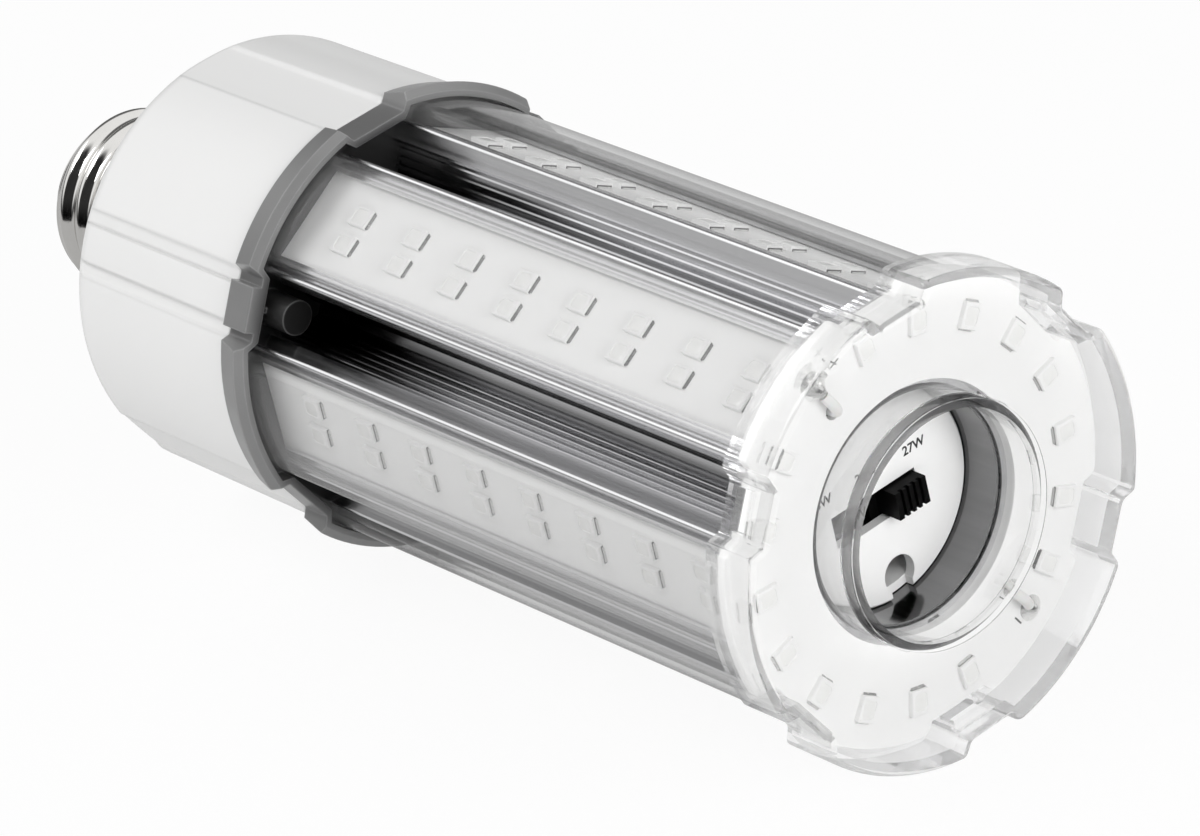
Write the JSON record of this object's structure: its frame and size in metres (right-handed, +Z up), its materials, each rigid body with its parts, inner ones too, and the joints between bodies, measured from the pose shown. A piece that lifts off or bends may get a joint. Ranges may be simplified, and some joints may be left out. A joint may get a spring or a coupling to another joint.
{
  "type": "screw-base led replacement lamp",
  "caption": "Screw-base LED replacement lamp with lit arms round an extruded heat sink, clear covers, a lobed clear end cap and a slide switch for its power.",
  "frame": {"origin": "on the lamp's axis, at the rim of the screw shell where the driver housing's neck starts", "axes": "+X along the lamp's axis from the screw base to the light-giving end, +Z up with the lamp lying on its side as pictured, +Y to the side"},
  "size_m": [0.1774, 0.0648, 0.064],
  "materials": {
    "nickel": "bright nickel plate, fine turning lines",
    "base_black": "fired black glass, glossy",
    "contact_metal": "dull tinned contact",
    "housing_white": "smooth moulded white, soft gloss",
    "collar_grey": "moulded mid grey, satin",
    "sink_aluminium": "extruded, fine lines along its length",
    "board_white": "white solder mask on an aluminium core",
    "chip": "pale resin over a light chip",
    "clear_cover": "clear moulded plastic, glossy",
    "clear_cap": "clear moulded plastic, glossy",
    "plate_white": "moulded white, satin",
    "switch_black": "moulded black, satin",
    "knob_black": "moulded black, satin",
    "circuit_board": "green glass fibre board",
    "lead_white": "white silicone sleeve",
    "lead_black": "black silicone sleeve",
    "solder": "bright solder",
    "transformer_dark": "dark ferrite and tape",
    "capacitor_sleeve": "shrink sleeve over a can",
    "screw_steel": "zinc plated"
  },
  "bodies": {
    "lamp": {"screw_shell": "nickel", "base_insulator": "base_black", "center_contact": "contact_metal", "driver_housing": "housing_white", "collar": "collar_grey", "heat_sink": "sink_aluminium", "led_board_1": "board_white", "led_board_2": "board_white", "led_board_3": "board_white", "led_board_4": "board_white", "led_board_5": "board_white", "led_board_6": "board_white", "led_chips_1": "chip", "led_chips_2": "chip", "led_chips_3": "chip", "led_chips_4": "chip", "led_chips_5": "chip", "led_chips_6": "chip", "panel_lens_1": "clear_cover", "panel_lens_2": "clear_cover", "panel_lens_3": "clear_cover", "panel_lens_4": "clear_cover", "panel_lens_5": "clear_cover", "panel_lens_6": "clear_cover", "front_board": "board_white", "front_chips": "chip", "end_cap": "clear_cap", "selector_plate": "plate_white", "selector_switch": "switch_black", "switch_board": "circuit_board", "lead_plus": "lead_white", "lead_minus": "lead_white", "switch_lead": "lead_white", "supply_leads": "lead_black", "solder_joints": "solder", "driver_board": "circuit_board", "transformer": "transformer_dark", "capacitors": "capacitor_sleeve", "inductor": "transformer_dark", "board_screws": "screw_steel", "sink_screws": "screw_steel"},
    "selector": {"selector_knob": "knob_black"}
  },
  "joints": [
    {"name": "selector_slide", "type": "slide", "parent": "lamp", "child": "selector", "axis": [0, 1, 0], "range_m": [-0.008, 0]}
  ]
}
